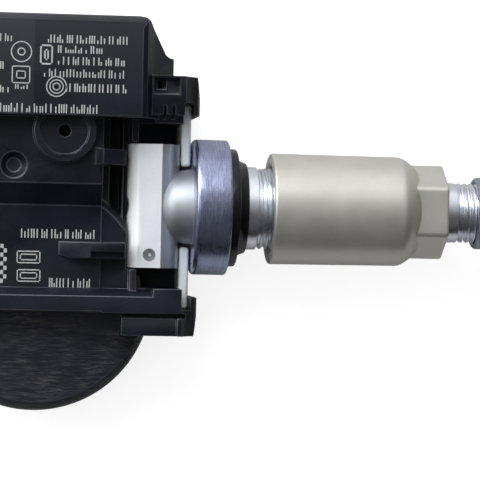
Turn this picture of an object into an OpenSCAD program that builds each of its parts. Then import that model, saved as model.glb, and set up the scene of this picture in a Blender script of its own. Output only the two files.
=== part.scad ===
// Tyre pressure sensor with a clamp-in valve.
// Origin: centre of the grommet's outer face, which seats on the wheel rim.
// +X runs out along the valve stem, +Z is the label side, the underside lies on z = -axis_height.

/* [Housing] */
// Length of the housing along the stem, from its closed end to the tips of the ears
shell_len = 35.5; // [34:0.1:40]
// Height of the stem axis above the underside
axis_height = 9.5; // [9:0.1:12]
// Distance from the stem axis to the far long edge, on the side of the top block
shell_top_y = 24.2; // [23.5:0.1:26]
// Wall thickness of the housing round the electronics
wall = 1.5; // [1.2:0.1:1.8]
// Height of the top block above the stem axis
block_z = 7.5; // [6.5:0.1:9]
// Height of the middle floor above the stem axis
mid_z = 4.5; // [4:0.1:5]
// Height of the lower label floor above the stem axis
floor_z = 2.5; // [2.3:0.1:3]
// Height of the long raised strip above the stem axis
strip_z = 6.0; // [5:0.1:7]
// Distance of the lobe's centre below the stem axis in plan
lobe_y = 11.4; // [11:0.1:12]
// Height of the lobe's face above the stem axis
lobe_z = 2.0; // [1.7:0.1:2.4]
// Distance from the stem axis to the inner face of each ear
ear_in_y = 11.55; // [11.4:0.05:12.2]
// Distance from the stem axis to the outer face of each ear
ear_out_y = 16.5; // [16.3:0.1:17.2]
// Height of the upper ear above the stem axis
ear_z = 5.2; // [4.5:0.1:6.5]
// Length of the ear lips in front of the fork plate
ear_lip = 0.9; // [0.8:0.1:1.6]
// Diameter of the air port in the round boss
port_d = 1.5; // [1:0.1:2]

/* [Electronics] */
// Diameter of the coin cell
battery_d = 24.5; // [23:0.1:24.8]
// Thickness of the coin cell
battery_t = 5.0; // [3.2:0.1:5.4]
// Thickness of the circuit board
board_t = 0.8; // [0.6:0.1:1]
// Length of the ferrite rod of the wake-up coil
coil_len = 11; // [8:0.5:13]

/* [Valve stem] */
// Radius of the cross head that lies in the cradle
thead_r = 3.35; // [3.2:0.05:3.6]
// Length of the cross head
thead_len = 15.8; // [15.5:0.1:17]
// Width of the flat milled along the cross head
thead_flat = 3.0; // [2:0.1:3.2]
// Radius of the neck between the cross head and the collar
neck_r = 4.75; // [4.4:0.05:4.9]
// Radius of the plain shank under the grommet and the collar
shank_r = 5.32; // [5.25:0.01:5.4]
// Radius over the shank thread
thread_r = 5.21; // [5.1:0.01:5.24]
// Radius over the mouth thread
mouth_r = 3.87; // [3.8:0.01:3.92]
// Distance from the rim seat to the tip of the valve mouth
mouth_tip_x = 36.5; // [35.5:0.1:38]
// Radius of the air bore
bore_r = 1.3; // [1:0.1:1.5]

/* [Collar, grommet and plate] */
// Length of the support collar
collar_len = 4.7; // [4.2:0.1:5.2]
// Radius of the support collar
collar_r = 8.68; // [8.2:0.01:8.8]
// Thickness of the grommet's flange
flange_t = 1.0; // [0.8:0.1:1.4]
// Radius of the grommet's flange
flange_r = 7.57; // [7:0.01:8]
// Length of the grommet's cone, which enters the rim hole
cone_len = 1.3; // [1:0.1:1.8]
// Thickness of the fork plate
plate_t = 1.25; // [1:0.05:1.5]
// Half the width of the slot in the fork plate
slot_r = 5.2; // [5.05:0.05:5.5]

/* [Sleeve nut] */
// Distance from the rim seat to the nut's rounded end
nut_x = 4.5; // [4:0.1:5]
// Radius of the nut's sleeve
nut_r = 7.12; // [6.9:0.01:7.3]
// Length of the nut's sleeve up to its shoulder
sleeve_len = 16.4; // [15.5:0.1:17]
// Width of the nut's hexagon across its flats
hex_af = 10.7; // [10.5:0.1:11.4]
// Length of the hexagon behind the shoulder
hex_len = 3.8; // [3.6:0.1:4.6]

/* [Valve cap] */
// Length of the cap
cap_len = 8.4; // [8.2:0.1:10.5]
// Outer radius of the cap
cap_r = 4.75; // [4.65:0.05:5]

/* [Clearances] */
// Radial running clearance of turned and sliding fits
run_gap = 0.05; // [0.03:0.01:0.08]
// Clearance of the fork plate to the collar
collar_gap = 0.2; // [0.15:0.01:0.3]
// Clearance of the cross head to the fork plate
head_gap = 0.12; // [0.1:0.01:0.2]

/* [Hidden] */
$fn = 96;
EPS = 0.01;
BASE_Z = -axis_height;
FAR = 100;

// Places along the stem, counted back from the rim seat
COLLAR_FRONT = -flange_t;
COLLAR_BACK = COLLAR_FRONT - collar_len;
PLATE_FRONT = COLLAR_BACK - collar_gap;
PLATE_BACK = PLATE_FRONT - plate_t;
PIVOT_X = PLATE_BACK - head_gap - thead_r;
CRADLE_R = thead_r + run_gap;
CRADLE_BACK = PIVOT_X - CRADLE_R;
EAR_FRONT = PLATE_FRONT + ear_lip;
SHELL_LEFT = EAR_FRONT - shell_len;

// Housing layout
PLATE_FIT = 0.02;
PLATE_DEEP = 1.6;
PLATE_HALF = ear_in_y + PLATE_DEEP;
PLATE_TOP = 0.6;
PLATE_FOOT = 1.0;
SLOT_DROP = 0.6;
SHELL_FRONT = PLATE_BACK - PLATE_FIT;
DECK_RIGHT = CRADLE_BACK - 3.3;
MID_TOP_Y = 2.6;
SLOPE_LOW_Y = MID_TOP_Y - 2.75;
STRIP_TOP_Y = 0.85 - ear_in_y;
STRIP_EDGE_Y = STRIP_TOP_Y - 0.85;
STRIP_LOW_Y = STRIP_TOP_Y - 2.95;
CORNER_R = 3;
BLOCK_LOW_Y = ear_in_y - 0.55;
BLOCK_RIGHT = PIVOT_X - 2.2;
BLOCK_FOOT = PLATE_BACK - 1.25;
BLOCK_KNEE_Y = ear_out_y + 2.35;
BOSS_X = PIVOT_X - 11.7;
BOSS_Y = BLOCK_LOW_Y - 1.8;
BOSS_R = 4.1;
GATE_X = BOSS_X - 6.3;
GATE_Y = 4.8;
HEAD_ROOM = 0.15;
CRADLE_WALL = 0.9;
HEAD_HALF = thead_len / 2 + HEAD_ROOM;
TRENCH_W = 1.6;
TRENCH_RIGHT = CRADLE_BACK - 0.7;
TRENCH_Z = -3.5;
TRENCH_EDGE_Z = 1.2;
EAR_STEP_Y = ear_in_y - 1.05;
POCKET_X = PIVOT_X - 0.5;
RIB_W = 2.0;
UPPER_RIB_Y = BOSS_Y - BOSS_R;
LOWER_RIB_Y = -UPPER_RIB_Y - 1.7;

// Battery lobe, sized by the coin cell, whose edge lies in line with the cradle's back
CELL_ROOM = 1.25;
LOBE_R = battery_d / 2 + CELL_ROOM + wall;
CELL_X = CRADLE_BACK - battery_d / 2;
LOBE_X = CELL_X + 0.77;
WEB_X = LOBE_X + LOBE_R - 1.3;
WEB_R = 1.9;

// Inside the housing
CEILING = min(lobe_z, floor_z) - 1.1;
ROOF = block_z - wall;
CAV_LEFT = SHELL_LEFT + wall;
CAV_RIGHT = DECK_RIGHT - wall + 1.2;
CAV_TOP = shell_top_y - 2.2 - wall;
CAV_LOW = STRIP_LOW_Y + wall;
LOBE_IN_R = LOBE_R - wall;
FILL_DEPTH = 0.4;
BOARD_Z = CEILING - 2.2;
PART_GAP = 0.4;
BOARD_LOW = BOARD_Z - board_t;
TAB_T = 0.25;
CELL_TOP = BOARD_LOW - TAB_T - 0.5;
CELL_BOTTOM = CELL_TOP - battery_t;
CELL_R = battery_d / 2;
LID_R = CELL_R - 2.2;
LID_T = 1.6;
TAB_W = 3;
CHIP_W = 6;
CHIP_T = 1.7;
PORT_SEAL_R = port_d / 2 + 0.9;
CRYSTAL_LEN = 3.2;
CRYSTAL_W = 2.5;
CRYSTAL_T = 0.9;
CHIP_CAP_LEN = 1.6;
CHIP_CAP_W = 0.8;
CHIP_CAP_STEP = 1.9;
COIL_R = 1.3;
WIRE_T = 0.8;
COIL_Y = (BOSS_Y + PORT_SEAL_R + CAV_TOP) / 2 + 1.4;
COIL_END = CAV_RIGHT - PART_GAP;
COIL_START = COIL_END - coil_len;
FLANGE_T = 1.2;

// Lean of the cross head's flat towards the housing, in degrees
FLAT_TURN = 11;
FACET_DEEP = 0.04;

// Valve core, inside the mouth
CORE_R = 2.6;
CORE_DEEP = 4.0;
BARREL_R = 1.75;
BARREL_LEN = 9.0;
BARREL_BORE = 2.1;
PIN_R = 0.55;
PIN_SHOW = 0.3;
CUP_LEN = 1.8;
CORE_SINK = 2.0;
PLUG_FRONT = mouth_tip_x - CORE_SINK;
PLUG_BACK = PLUG_FRONT - CORE_DEEP;
BARREL_BACK = PLUG_BACK - BARREL_LEN;
PRESS = 1.2;
CUP_BACK = BARREL_BACK - CUP_LEN - 0.1;
PIN_BACK = CUP_BACK + 0.4;
SEAT_X = CUP_BACK - PRESS - 1.4;
SPRING_R = 0.9;
WIRE_R = 0.16;
SPRING_TURNS = 5;
RING_STEPS = 18;
WIRE_SIDES = 6;

// Sleeve nut
NUT_COUNTER = shank_r + 0.3;
NUT_COUNTER_DEEP = 1.6;
NUT_SHOULDER = nut_x + sleeve_len;
HEX_START = NUT_SHOULDER + 1.4;
HEX_END = HEX_START + 1.0 + hex_len;
HEX_CORNER = hex_af / sqrt(3) - 0.055;
NUT_BORE = thread_r + run_gap;
NUT_NOSE_BORE = mouth_r + 0.25;
THREAD_END = NUT_SHOULDER - 4.4;
NUT_STEP = THREAD_END + 4.2;

// Valve cap
CAP_BORE = mouth_r + run_gap;
CAP_TOP = 1.6;
SEAL_T = 1.1;
SEAL_GAP = 0.4;
SEAL_BACK = mouth_tip_x + SEAL_GAP;
CAP_END = SEAL_BACK + SEAL_T + CAP_TOP;
CAP_X = CAP_END - cap_len;

// A box between two corners
module box(x0, x1, y0, y1, z0, z1) {
    translate([x0, y0, z0])
        cube([x1 - x0, y1 - y0, z1 - z0]);
}

// A turned piece: the profile's points are [distance along the stem, radius]
module turned(profile) {
    rotate([0, 90, 0])
        rotate([0, 0, 90])
            rotate_extrude()
                polygon([for (p = profile) [p[1], p[0]]]);
}

// A plain rod along the stem
module rod(x0, x1, r) {
    translate([x0, 0, 0])
        rotate([0, 90, 0])
            cylinder(h = x1 - x0, r = r);
}

// A prism along X whose outline is given as [y, z]
module prism_x(x0, x1, outline) {
    translate([x0, 0, 0])
        rotate([90, 0, 90])
            linear_extrude(height = x1 - x0)
                polygon(outline);
}

// A prism along Y whose outline is given as [x, z]
module prism_y(y0, y1, outline) {
    translate([0, y1, 0])
        rotate([90, 0, 0])
            linear_extrude(height = y1 - y0)
                polygon(outline);
}

// A prism along Z whose outline is given as [x, y]
module prism_z(z0, z1, outline) {
    translate([0, 0, z0])
        linear_extrude(height = z1 - z0)
            polygon(outline);
}

// An upright cylinder, or a cone where the two radii differ
module post(x, y, z0, z1, r0, r1) {
    translate([x, y, z0])
        cylinder(h = z1 - z0, r1 = r0, r2 = r1);
}

// Top block with its sloped long side, rounded shoulder and sloped front
module top_block() {
    difference() {
        prism_x(SHELL_LEFT, BLOCK_FOOT, [
            [BLOCK_LOW_Y, BASE_Z], [BLOCK_LOW_Y, block_z - 0.15], [BLOCK_LOW_Y + 0.15, block_z],
            [shell_top_y - 2.0, block_z], [shell_top_y - 1.15, block_z - 0.45],
            [shell_top_y - 0.45, block_z - 2], [shell_top_y, block_z - 5.5], [shell_top_y, BASE_Z]
        ]);
        prism_y(BLOCK_LOW_Y - 1, shell_top_y + 1, [
            [BLOCK_RIGHT, block_z + 1], [BLOCK_RIGHT, block_z], [BLOCK_RIGHT + 0.7, block_z - 0.5],
            [BLOCK_RIGHT + 1.7, block_z - 3], [BLOCK_FOOT, floor_z - 1], [BLOCK_FOOT + 1, floor_z - 1],
            [BLOCK_FOOT + 1, block_z + 1]
        ]);
        prism_z(BASE_Z - 1, block_z + 1, [
            [BLOCK_RIGHT - 0.2, shell_top_y + EPS], [BLOCK_RIGHT + 0.5, shell_top_y - 0.3],
            [BLOCK_RIGHT + 1.2, shell_top_y - 1.1], [BLOCK_FOOT - 1.1, BLOCK_KNEE_Y + 0.4],
            [BLOCK_FOOT - 0.6, BLOCK_KNEE_Y + 0.1], [BLOCK_FOOT - 0.05, BLOCK_KNEE_Y],
            [BLOCK_FOOT + 1, BLOCK_KNEE_Y], [BLOCK_FOOT + 1, shell_top_y + 1],
            [BLOCK_RIGHT - 0.2, shell_top_y + 1]
        ]);
    }
}

// Middle floor, its slope and the lower label floor in one profile
module decks() {
    prism_x(SHELL_LEFT, DECK_RIGHT, [
        [ear_in_y, BASE_Z], [ear_in_y, mid_z], [MID_TOP_Y, mid_z], [SLOPE_LOW_Y, floor_z],
        [STRIP_TOP_Y, floor_z], [STRIP_TOP_Y, BASE_Z]
    ]);
}

// Long raised strip that ends as the lower ear's top
module strip() {
    prism_x(SHELL_LEFT + 2, PLATE_FRONT - 1.1, [
        [STRIP_TOP_Y + EPS, BASE_Z], [STRIP_TOP_Y, floor_z], [STRIP_EDGE_Y + 0.1, strip_z - 0.2],
        [STRIP_EDGE_Y, strip_z], [STRIP_LOW_Y + 0.2, strip_z], [STRIP_LOW_Y, strip_z - 0.3],
        [STRIP_LOW_Y, BASE_Z]
    ]);
}

// Round lobe over the coin cell, with a bevelled rim
module lobe() {
    translate([LOBE_X, -lobe_y, 0])
        rotate_extrude()
            polygon([
                [0, BASE_Z], [LOBE_R - 0.8, BASE_Z], [LOBE_R, BASE_Z + 0.8],
                [LOBE_R, lobe_z - 1.8], [LOBE_R - 0.35, lobe_z - 0.8], [LOBE_R - 1.1, lobe_z],
                [0, lobe_z]
            ]);
}

// Web that blends the lobe into the lower ear
module lobe_web() {
    difference() {
        prism_z(BASE_Z, lobe_z, [
            [LOBE_X, -lobe_y], [WEB_X - 2.0, -ear_out_y - 3.4], [WEB_X - 1.5, -ear_out_y - 2.4],
            [WEB_X, -ear_out_y], [WEB_X, -ear_out_y + 2]
        ]);
        post(WEB_X + 0.45, -ear_out_y - WEB_R, BASE_Z - 1, lobe_z + 1, WEB_R, WEB_R);
        prism_z(lobe_z - 1.6, lobe_z + 1, [
            [WEB_X - 3.0, -ear_out_y - 0.1], [WEB_X - 2.9, -ear_out_y - 1.0],
            [WEB_X - 2.3, -ear_out_y - 1.9], [WEB_X - 1.5, -ear_out_y - 2.0],
            [WEB_X - 1.2, -ear_out_y - 1.2], [WEB_X - 1.3, -ear_out_y - 0.1]
        ]);
    }
}

// One ear: a block with a drafted front and an outer wall
module ear(top) {
    prism_z(BASE_Z, top, [
        [DECK_RIGHT, ear_in_y], [EAR_FRONT, ear_in_y], [EAR_FRONT, ear_in_y + 2.3],
        [EAR_FRONT - 0.4, ear_out_y], [DECK_RIGHT, ear_out_y]
    ]);
}

// Cut that makes the ear's outer wall fall away towards its tip
module ear_slope(top) {
    prism_y(ear_in_y - 1, ear_out_y + 1, [
        [PLATE_FRONT - 1.1, top + 1], [PLATE_FRONT - 1.1, top], [PLATE_FRONT - 0.6, top - 1.0],
        [EAR_FRONT - 0.25, top - 2.2], [EAR_FRONT + EPS, top - 3.2], [EAR_FRONT + 1, top - 3.2],
        [EAR_FRONT + 1, top + 1]
    ]);
}

// Upper ear with its label pocket and moulding slots
module upper_ear() {
    difference() {
        union() {
            ear(ear_z);
            box(PIVOT_X - 0.2, SHELL_FRONT, EAR_STEP_Y, ear_in_y, BASE_Z, ear_z - 1.5);
        }
        ear_slope(ear_z);
        box(POCKET_X, POCKET_X + 3.3, ear_out_y - 2.3, ear_out_y - 0.25, ear_z - 0.7, ear_z + 1);
        box(POCKET_X + 0.4, POCKET_X + 1.5, ear_out_y - 1.65, ear_out_y - 0.5, ear_z - 2, ear_z);
        for (x = [1.3, 2.4])
            box(POCKET_X + x, POCKET_X + x + 0.3, EAR_STEP_Y + 0.6, EAR_STEP_Y + 2.2, ear_z - 2, ear_z + 1);
    }
}

// Lower ear with the groove below the strip and the rounded block
module lower_ear() {
    difference() {
        union() {
            mirror([0, 1, 0])
                ear(strip_z);
            box(PIVOT_X - 0.2, SHELL_FRONT, -ear_in_y, -EAR_STEP_Y, BASE_Z, strip_z);
        }
        mirror([0, 1, 0])
            ear_slope(strip_z);
        box(DECK_RIGHT - 1, PIVOT_X + 4.0, STRIP_LOW_Y - 0.55, STRIP_LOW_Y, strip_z - 2.5, strip_z + 1);
        box(DECK_RIGHT - 1, PIVOT_X + 2.9, -ear_out_y - 1, STRIP_LOW_Y, strip_z - 0.8, strip_z + 1);
        box(DECK_RIGHT - 1, DECK_RIGHT + 2.6, -ear_out_y - 1, STRIP_LOW_Y, lobe_z, strip_z + 1);
    }
}

// Gusset ribs that run from the decks to the cradle
module ribs() {
    rib_end = CRADLE_BACK - 0.3;
    prism_y(UPPER_RIB_Y, UPPER_RIB_Y + RIB_W, [
        [DECK_RIGHT - 1, BASE_Z], [DECK_RIGHT - 1, mid_z + 0.3], [DECK_RIGHT, mid_z + 0.3],
        [DECK_RIGHT + 0.9, mid_z - 0.4], [rib_end, floor_z + 0.3], [rib_end, BASE_Z]
    ]);
    difference() {
        prism_y(LOWER_RIB_Y, LOWER_RIB_Y + RIB_W, [
            [DECK_RIGHT - 5.3, BASE_Z], [DECK_RIGHT - 5.3, floor_z + 0.2], [DECK_RIGHT - 1.4, mid_z + 0.3],
            [rib_end, mid_z + 0.3], [rib_end, BASE_Z]
        ]);
        prism_z(floor_z, mid_z + 1, [
            [DECK_RIGHT - 6, LOWER_RIB_Y - 1], [DECK_RIGHT - 6, LOWER_RIB_Y + 0.5],
            [DECK_RIGHT - 5.3, LOWER_RIB_Y + 0.4], [DECK_RIGHT - 3.9, LOWER_RIB_Y],
            [DECK_RIGHT - 3.9, LOWER_RIB_Y - 1]
        ]);
        box(DECK_RIGHT - 1.4, rib_end + 1, LOWER_RIB_Y - 1, LOWER_RIB_Y + 0.9, mid_z - 0.4, mid_z + 1);
    }
}

// Low floor and side walls of the cradle, before the cross head's trough is cut
module cradle() {
    difference() {
        union() {
            box(DECK_RIGHT - EPS, SHELL_FRONT, -ear_in_y, ear_in_y, BASE_Z, 0);
            box(DECK_RIGHT - EPS, CRADLE_BACK - 0.5, -ear_in_y, ear_in_y, BASE_Z, TRENCH_EDGE_Z);
        }
        box(TRENCH_RIGHT - TRENCH_W, TRENCH_RIGHT, STRIP_TOP_Y, BLOCK_LOW_Y, TRENCH_Z, FAR);
    }
    for (y = [-1, 1])
        box(
            CRADLE_BACK + 0.3, CRADLE_BACK + 1.2,
            min(y * (HEAD_HALF + 0.1), y * ear_in_y), max(y * (HEAD_HALF + 0.1), y * ear_in_y), BASE_Z, 3.4
        );
}

// A cylinder on the tilt axis
module head_cylinder(r, half) {
    translate([PIVOT_X, half, 0])
        rotate([90, 0, 0])
            cylinder(h = 2 * half, r = r);
}

// Room for the cross head, the neck's swing and the pockets beside the head
module cradle_cut() {
    head_cylinder(CRADLE_R, HEAD_HALF);
    box(PIVOT_X - CRADLE_R, SHELL_FRONT + 1, -HEAD_HALF, HEAD_HALF, 0, FAR);
    box(PIVOT_X, SHELL_FRONT + 1, -HEAD_HALF, HEAD_HALF, -thead_r * 0.4, 1);
    box(PIVOT_X + 0.3, SHELL_FRONT + 1, -slot_r, slot_r, -slot_r - 0.7, 1);
    for (y = [-1, 1])
        box(
            CRADLE_BACK + 1.2, SHELL_FRONT + 1,
            min(y * HEAD_HALF, y * EAR_STEP_Y), max(y * HEAD_HALF, y * EAR_STEP_Y), -axis_height * 0.6, FAR
        );
}

// Space that the cavity leaves to the cradle's wall, grown by a gap
module cradle_keep(gap) {
    reach = CRADLE_R + CRADLE_WALL + gap;
    half = HEAD_HALF + CRADLE_WALL + gap;
    head_cylinder(reach, half);
    box(PIVOT_X - reach, FAR, -half, half, 0, FAR);
    box(SHELL_FRONT - wall - gap, FAR, -FAR, FAR, -FAR, FAR);
}

// Plan outline that rounds the two far corners
module plan_corners() {
    difference() {
        box(SHELL_LEFT - 1, SHELL_LEFT + CORNER_R, shell_top_y - CORNER_R, shell_top_y + 1, BASE_Z - 1, FAR);
        post(SHELL_LEFT + CORNER_R, shell_top_y - CORNER_R, BASE_Z - 2, FAR + 1, CORNER_R, CORNER_R);
    }
}

// Room for the electronics, open on the underside
module cavity(low) {
    box(CAV_LEFT, CAV_RIGHT, CAV_LOW, CAV_TOP, low, CEILING);
    box(CAV_LEFT, CAV_RIGHT, BLOCK_LOW_Y + wall, CAV_TOP, CEILING - 1, ROOF);
    difference() {
        post(LOBE_X, -lobe_y, low, CEILING, LOBE_IN_R, LOBE_IN_R);
        cradle_keep(0);
    }
}

module housing_shell() {
    color([0.13, 0.14, 0.17])
        difference() {
            union() {
                top_block();
                decks();
                strip();
                lobe();
                lobe_web();
                box(SHELL_LEFT, LOBE_X, -lobe_y, 0, BASE_Z, floor_z);
                upper_ear();
                lower_ear();
                ribs();
                cradle();
                post(BOSS_X, BOSS_Y, BASE_Z + 5, mid_z + 1.3, BOSS_R + 0.15, BOSS_R - 0.2);
            }
            post(BOSS_X, BOSS_Y, mid_z + 0.8, mid_z + 2, BOSS_R - 1.1, BOSS_R - 0.9);
            post(BOSS_X, BOSS_Y, CEILING - 1, mid_z + 2, port_d / 2, port_d / 2);
            post(GATE_X, GATE_Y, mid_z - 0.7, mid_z + EPS, 0.9, 1.7);
            cavity(BASE_Z - 1);
            cradle_cut();
            plan_corners();
            box(
                PLATE_BACK - PLATE_FIT, PLATE_FRONT + PLATE_FIT,
                -PLATE_HALF - PLATE_FIT, PLATE_HALF + PLATE_FIT, BASE_Z + PLATE_FOOT, FAR
            );
        }
}

// All that the resin flows round
module inner_pieces() {
    circuit_board();
    post(CELL_X, -lobe_y, CELL_BOTTOM, CELL_TOP, CELL_R, CELL_R);
    battery_tab_positive();
    battery_tab_negative();
    box(BOSS_X - CHIP_W / 2, BOSS_X + CHIP_W / 2, BOSS_Y - CHIP_W / 2, BOSS_Y + CHIP_W / 2, BOARD_Z, CEILING);
    post(BOSS_X, BOSS_Y, CEILING - 1, CEILING, PORT_SEAL_R, PORT_SEAL_R);
    coil_space();
    rf_antenna();
    quartz_crystal();
    chip_capacitors();
}

module potting_compound() {
    color([0.08, 0.08, 0.09])
        difference() {
            cavity(BASE_Z + FILL_DEPTH);
            inner_pieces();
        }
}

module circuit_board() {
    color([0.05, 0.35, 0.2])
        difference() {
            union() {
                box(
                    CAV_LEFT + PART_GAP, CAV_RIGHT - PART_GAP,
                    -lobe_y + 2, CAV_TOP - PART_GAP, BOARD_LOW, BOARD_Z
                );
                post(LOBE_X, -lobe_y, BOARD_LOW, BOARD_Z, LOBE_IN_R - PART_GAP, LOBE_IN_R - PART_GAP);
            }
            cradle_keep(PART_GAP);
            for (y = [CAV_TOP - 2, MID_TOP_Y])
                post(CAV_LEFT + 2.2, y, BOARD_LOW - 1, BOARD_Z + 1, 0.8, 0.8);
        }
}

// Cup of the coin cell, open towards the board
module battery_can() {
    color([0.8, 0.8, 0.82])
        translate([CELL_X, -lobe_y, 0])
            difference() {
                translate([0, 0, CELL_BOTTOM])
                    cylinder(h = battery_t - 0.3, r = CELL_R);
                translate([0, 0, CELL_TOP - LID_T])
                    cylinder(h = 2, r = CELL_R - 0.4);
            }
}

// Ring that insulates the lid from the can
module battery_gasket() {
    color([0.15, 0.15, 0.15])
        translate([CELL_X, -lobe_y, CELL_TOP - LID_T])
            difference() {
                cylinder(h = LID_T - 0.3, r = CELL_R - 0.4);
                translate([0, 0, -1])
                    cylinder(h = 4, r = LID_R);
            }
}

module battery_lid() {
    color([0.85, 0.85, 0.87])
        translate([CELL_X, -lobe_y, CELL_TOP - LID_T])
            cylinder(h = LID_T, r = LID_R);
}

// Welded strip from the lid's centre to the board
module battery_tab_negative() {
    color([0.75, 0.75, 0.72]) {
        left = CELL_X - TAB_W / 2;
        right = CELL_X + TAB_W / 2;
        box(left, right, -lobe_y - TAB_W, -lobe_y + TAB_W, CELL_TOP, CELL_TOP + TAB_T);
        box(left, right, -lobe_y + TAB_W - TAB_T, -lobe_y + TAB_W, CELL_TOP, BOARD_LOW);
    }
}

// Welded strip up the side of the can to the board
module battery_tab_positive() {
    color([0.75, 0.75, 0.72])
        box(
            CELL_X - TAB_W / 2, CELL_X + TAB_W / 2, CELL_R - lobe_y + 0.02, CELL_R - lobe_y + TAB_T,
            CELL_BOTTOM + 0.8, BOARD_LOW
        );
}

module sensor_chip() {
    color([0.1, 0.1, 0.1])
        difference() {
            box(
                BOSS_X - CHIP_W / 2, BOSS_X + CHIP_W / 2, BOSS_Y - CHIP_W / 2, BOSS_Y + CHIP_W / 2,
                BOARD_Z, BOARD_Z + CHIP_T
            );
            post(BOSS_X, BOSS_Y, BOARD_Z + 1, BOARD_Z + CHIP_T + 1, port_d / 2, port_d / 2);
        }
}

module port_seal() {
    color([0.2, 0.2, 0.2])
        difference() {
            post(BOSS_X, BOSS_Y, BOARD_Z + CHIP_T, CEILING, PORT_SEAL_R, PORT_SEAL_R);
            post(BOSS_X, BOSS_Y, BOARD_Z, CEILING + 1, port_d / 2, port_d / 2);
        }
}

// Ferrite rod that lies along X on the board, with an end flange on each side
module lf_coil_core() {
    color([0.25, 0.25, 0.27]) {
        for (x = [COIL_START, COIL_END - FLANGE_T])
            box(
                x, x + FLANGE_T, COIL_Y - COIL_R - WIRE_T, COIL_Y + COIL_R + WIRE_T,
                BOARD_Z, BOARD_Z + 2 * (COIL_R + WIRE_T)
            );
        translate([0, COIL_Y, BOARD_Z + COIL_R + WIRE_T])
            rod(COIL_START, COIL_END, COIL_R);
    }
}

module lf_coil_winding() {
    color([0.7, 0.4, 0.15])
        translate([0, COIL_Y, BOARD_Z + COIL_R + WIRE_T])
            difference() {
                rod(COIL_START + FLANGE_T, COIL_END - FLANGE_T, COIL_R + WIRE_T);
                rod(COIL_START, COIL_END, COIL_R);
            }
}

// Box that the coil takes in the resin
module coil_space() {
    box(
        COIL_START, COIL_END, COIL_Y - COIL_R - WIRE_T, COIL_Y + COIL_R + WIRE_T,
        BOARD_Z, BOARD_Z + 2 * (COIL_R + WIRE_T)
    );
}

// Bent strip that stands on two feet at the board's edge
module rf_antenna() {
    color([0.8, 0.75, 0.55]) {
        left = CAV_LEFT + 1.2;
        right = COIL_START - 0.8;
        y = CAV_TOP - 1.4;
        box(left, right, y, y + 0.9, CEILING + 2.4, CEILING + 2.8);
        for (x = [left, right - 0.4])
            box(x, x + 0.4, y, y + 0.9, BOARD_Z, CEILING + 2.8);
    }
}

module quartz_crystal() {
    color([0.78, 0.78, 0.8])
        box(
            GATE_X - PART_GAP - CRYSTAL_LEN, GATE_X - PART_GAP, -2 * CRYSTAL_W, -CRYSTAL_W,
            BOARD_Z, BOARD_Z + CRYSTAL_T
        );
}

module chip_capacitors() {
    color([0.6, 0.5, 0.35])
        for (i = [0:4])
            translate([CAV_RIGHT - 3 * PART_GAP - CHIP_CAP_W - i * CHIP_CAP_STEP, -3 * CHIP_CAP_LEN, BOARD_Z])
                cube([CHIP_CAP_W, CHIP_CAP_LEN, CHIP_CAP_W]);
}

// Fork plate: a straight plate with a round-bottomed slot that is open towards the label side
module retaining_plate() {
    color([0.82, 0.88, 0.92])
        difference() {
            box(PLATE_BACK, PLATE_FRONT, -PLATE_HALF, PLATE_HALF, BASE_Z + PLATE_FOOT, PLATE_TOP);
            translate([0, 0, -SLOT_DROP])
                rod(PLATE_BACK - 1, PLATE_FRONT + 1, slot_r);
            box(PLATE_BACK - 1, PLATE_FRONT + 1, -slot_r, slot_r, -SLOT_DROP, FAR);
        }
}

// Cross head, flared neck, shank with thread lands, mouth and stepped bore in one piece
module valve_stem() {
    flat_z = sqrt(thead_r * thead_r - thead_flat * thead_flat / 4);
    color([0.86, 0.87, 0.9])
        difference() {
            union() {
                difference() {
                    head_cylinder(thead_r, thead_len / 2);
                    translate([PIVOT_X, 0, 0]) {
                        rotate([0, -FLAT_TURN, 0])
                            box(-thead_r, thead_r, -thead_len, thead_len, flat_z, FAR);
                        rotate([0, 2 * FLAT_TURN, 0])
                            box(-thead_r, thead_r, -thead_len, thead_len, thead_r - FACET_DEEP, FAR);
                    }
                }
                turned([
                    [PIVOT_X, 0], [PIVOT_X, thead_r - 0.5], [PIVOT_X + 1.6, thead_r - 0.05],
                    [PLATE_BACK - 0.25, neck_r - 0.3], [PLATE_BACK + 0.35, neck_r - 0.05],
                    [PLATE_FRONT - 0.2, neck_r], [COLLAR_BACK, neck_r + 0.12],
                    [COLLAR_BACK, shank_r], [cone_len + 1.6, shank_r], [cone_len + 1.9, thread_r - 0.45],
                    [cone_len + 2.3, thread_r], [THREAD_END, thread_r],
                    [THREAD_END + 1.3, mouth_r], [CAP_X - 2.1, mouth_r],
                    [CAP_X - 1.9, mouth_r - 0.25], [CAP_X - 1.7, mouth_r],
                    [mouth_tip_x - 0.5, mouth_r], [mouth_tip_x, mouth_r - 0.5], [mouth_tip_x, 0]
                ]);
            }
            rod(PIVOT_X - thead_r - 1, mouth_tip_x + 1, bore_r);
            rod(SEAT_X, mouth_tip_x + 1, BARREL_BORE);
            rod(PLUG_BACK - 0.3, mouth_tip_x + 1, CORE_R);
            translate([PIVOT_X, 1.65 - thead_len / 2, 0])
                rotate([0, -FLAT_TURN, 0])
                    post(0, 0, flat_z - 0.9, flat_z + 1, 0.4, 0.92);
        }
}

module support_collar() {
    bore = shank_r + run_gap;
    color([0.38, 0.39, 0.46])
        turned([
            [COLLAR_BACK, bore], [COLLAR_BACK, collar_r - 0.5], [COLLAR_BACK + 0.35, collar_r - 0.05],
            [COLLAR_BACK + 0.7, collar_r], [COLLAR_FRONT - 0.35, collar_r],
            [COLLAR_FRONT, collar_r - 0.35], [COLLAR_FRONT, bore]
        ]);
}

module rubber_grommet() {
    color([0.04, 0.04, 0.05])
        turned([
            [COLLAR_FRONT, shank_r], [COLLAR_FRONT, flange_r - 0.15], [COLLAR_FRONT + 0.15, flange_r],
            [-0.25, flange_r], [0, flange_r - 0.25], [0, shank_r + 0.75],
            [cone_len - 0.2, shank_r + 0.33], [cone_len, shank_r + 0.18], [cone_len, shank_r]
        ]);
}

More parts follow.
